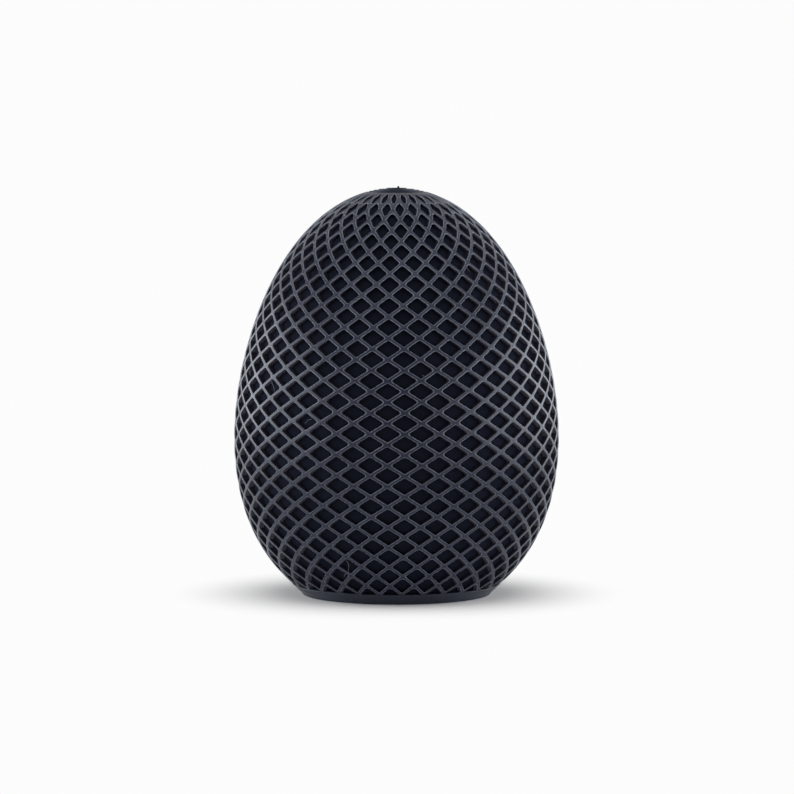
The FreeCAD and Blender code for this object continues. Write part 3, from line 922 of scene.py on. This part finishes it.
class EGG_OT_lattice(bpy.types.Operator):
    """Helical ribs of both hands, with their windows"""
    bl_idname = "egg.lattice"
    bl_label = "Lattice"

    def execute(self, context):
        scene = context.scene
        colours = scene.egg_colours
        mesh = lattice_mesh(scene.egg_outline, scene.egg_lattice)
        # Painted light on the walls that hang over, painted shade on those facing up, painted highlight on
        # the edges
        plastics = [plastic(scene, "rib", "rib", dulling=colours.dulling),
                    plastic(scene, "overhang", "core"),
                    plastic(scene, "ledge", "core"),
                    plastic(scene, "edge", "edge", painted_edge_highlight=colours.painted_edge_highlight)]
        new_piece("lattice_ribs", mesh, plastics, ["lattice_cage"])
        return {"FINISHED"}


class EGG_OT_crown(bpy.types.Operator):
    """Stepped dome on top and the small blob on it"""
    bl_idname = "egg.crown"
    bl_label = "Crown"

    def execute(self, context):
        scene = context.scene
        dull_plastic = plastic(scene, "crown", "crown", dulling=scene.egg_colours.dulling)
        crown = turned_mesh("crown_steps", *crown_profile(scene.egg_print), CROWN_TURNS)
        new_piece("crown_steps", crown, [dull_plastic], ["crown_cap"])
        middle = (NUB_LOW.x + NUB_HIGH.x) / 2
        nub = turned_mesh("crown_blob", *nub_profile(), NUB_TURNS, axis_x=middle)
        new_piece("crown_blob", nub, [dull_plastic], ["tip_nub"])
        return {"FINISHED"}


class EGG_OT_hairs(bpy.types.Operator):
    """Hairs and specks of plastic between the ribs"""
    bl_idname = "egg.hairs"
    bl_label = "Hairs"

    def execute(self, context):
        scene = context.scene
        mesh = hair_mesh(scene.egg_outline, scene.egg_print)
        new_piece("plastic_hairs", mesh, [plastic(scene, "hair", "rib")], [])
        return {"FINISHED"}


class EGG_OT_foot(bpy.types.Operator):
    """Band that the egg stands on, and the disc that closes its bottom"""
    bl_idname = "egg.foot"
    bl_label = "Foot"

    def execute(self, context):
        scene = context.scene
        mesh = ring_mesh(scene.egg_outline, scene.egg_print)
        new_piece("stand_band", mesh, [plastic(scene, "band", "band")], ["stand_ring"])
        paint_node("base_disc", bed_plastic(scene))
        return {"FINISHED"}


class EGG_OT_infill(bpy.types.Operator):
    """Plastic of the upright walls inside the core"""
    bl_idname = "egg.infill"
    bl_label = "Infill"

    def execute(self, context):
        paint_node("infill_grid", plastic(context.scene, "infill", "rib"))
        return {"FINISHED"}


class EGG_OT_studio(bpy.types.Operator):
    """White table and room, the lamps and the camera"""
    bl_idname = "egg.studio"
    bl_label = "Studio"

    def execute(self, context):
        scene = context.scene
        studio = scene.egg_studio
        add_floor(studio)
        for side, name in [(-1, "left"), (1, "right")]:
            for kind in ["rim", "front"]:
                add_softbox(studio, kind, side, getattr(studio, f"{name}_{kind}"))
        add_top_lamp(studio)
        add_camera(scene, studio)
        add_world(scene, studio)
        scene.view_settings.view_transform = "Standard"
        return {"FINISHED"}


def add_floor(studio):
    """Level square that the egg stands on, with its middle under the egg."""
    reach = studio.floor_reach
    corners = [(-reach, -reach, 0), (reach, -reach, 0), (reach, reach, 0), (-reach, reach, 0)]
    mesh = bpy.data.meshes.new("table")
    mesh.from_pydata(corners, [], [(0, 1, 2, 3)])
    mesh.materials.append(table_white(studio))
    table = add_object("table", mesh)


def aim(thing, place, target):
    """Put a lamp at a place and turn it towards a target, both as x, y, z."""
    thing.location = place
    away = np.subtract(place, target)
    thing.rotation_euler = (math.acos(away[2] / np.linalg.norm(away)), 0,
                            math.atan2(away[1], away[0]) + math.pi / 2)


def area_lamp(name, width, height, radiance, colour):
    """Rectangular lamp whose face has a given radiance: its power is pi times area times that."""
    lamp = bpy.data.lights.new(name, "AREA")
    lamp.shape = "RECTANGLE"
    lamp.size = width
    lamp.size_y = height
    lamp.energy = math.pi * width * height * radiance
    lamp.color = colour
    return add_object(name, lamp)


def add_softbox(studio, kind, side, radiance):
    """Softbox that faces the egg, on the left for side -1 and on the right for 1.

    Those of the kind rim stand beside the egg and light its outline. Those of the kind front stand
    before it and light the walls of the windows.
    """
    names = ["width", "tall", "colour", "distance", "angle", "height"]
    width, tall, colour, distance, angle, height = [getattr(studio, f"{kind}_{name}") for name in names]
    lamp = area_lamp(f"{kind}_softbox", width, tall, radiance, colour)
    aim(lamp, around(distance, side * angle - math.pi / 2, height), EGG_MIDDLE)


def add_top_lamp(studio):
    """Wide lamp overhead that lights the table."""
    lamp = area_lamp("top_panel", studio.top_width, studio.top_width, studio.top_lamp, studio.rim_colour)
    aim(lamp, (0, studio.top_back, studio.top_height), (0, 0, 0))


def add_camera(scene, studio):
    """Camera on the -Y side, level across, tilted down."""
    data = bpy.data.cameras.new("camera")
    data.sensor_width = SENSOR_WIDTH
    data.lens = studio.lens
    data.shift_x = studio.shift
    data.clip_start = studio.camera_distance / CLIP_FACTOR
    data.clip_end = studio.camera_distance * CLIP_FACTOR
    camera = add_object("camera", data)
    camera.location = (0, -studio.camera_distance, studio.camera_height)
    camera.rotation_euler = (math.pi / 2 - studio.camera_tilt, 0, 0)
    scene.camera = camera


def add_world(scene, studio):
    """White room whose -Y side is dark in reflections and gives little light.

    It is plain white to the camera and through clear things, whichever way they look.
    """
    world = bpy.data.worlds.new("white_room")
    world.use_nodes = True
    world.node_tree.nodes.clear()
    direction = add_node(world, "ShaderNodeTexCoord").outputs["Generated"]
    direct, seen = seen_rays(world)
    room = room_strength(world, direction, -studio.dark_middle, -studio.dark_edge, studio.dark_side)
    white = add_node(world, "ShaderNodeBackground",
                     {"Color": (*studio.backdrop, 1), "Strength": direct.apply("MAXIMUM", room)})
    ambient = add_node(world, "ShaderNodeBackground",
                       {"Color": ALL_WHITE, "Strength": room * studio.ambient})
    mix = add_node(world, "ShaderNodeMixShader",
                   {"Fac": seen, 1: ambient.outputs["Background"], 2: white.outputs["Background"]})
    add_node(world, "ShaderNodeOutputWorld", {"Surface": mix.outputs["Shader"]})
    scene.world = world


class EGG_PT_panel(bpy.types.Panel):
    """Steps that dress the egg, in the sidebar of the 3D view"""
    bl_idname = "EGG_PT_panel"
    bl_label = "Lattice Egg"
    bl_space_type = "VIEW_3D"
    bl_region_type = "UI"
    bl_category = "Egg"

    def draw(self, context):
        for step in STEPS:
            self.layout.operator(step.bl_idname)
        for name, group in SETTINGS.items():
            box = self.layout.box()
            for prop in group.__annotations__:
                box.prop(getattr(context.scene, name), prop)


SETTINGS = {
    "egg_outline": EggOutline,
    "egg_lattice": LatticeSizes,
    "egg_print": PrintSizes,
    "egg_colours": PlasticColours,
    "egg_studio": StudioSettings,
}
STEPS = [EGG_OT_core, EGG_OT_lattice, EGG_OT_crown, EGG_OT_hairs, EGG_OT_foot, EGG_OT_infill,
         EGG_OT_studio]


def register():
    for entry in [*SETTINGS.values(), *STEPS, EGG_PT_panel]:
        bpy.utils.register_class(entry)
    for name, group in SETTINGS.items():
        setattr(bpy.types.Scene, name, PointerProperty(type=group))


def unregister():
    for name in SETTINGS:
        delattr(bpy.types.Scene, name)
    for entry in reversed([*SETTINGS.values(), *STEPS, EGG_PT_panel]):
        bpy.utils.unregister_class(entry)


def main():
    """Run every step in order."""
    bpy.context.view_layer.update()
    register()
    bpy.ops.egg.core()
    bpy.ops.egg.lattice()
    bpy.ops.egg.crown()
    bpy.ops.egg.hairs()
    bpy.ops.egg.foot()
    bpy.ops.egg.infill()
    bpy.ops.egg.studio()


if __name__ == "__main__":
    main()
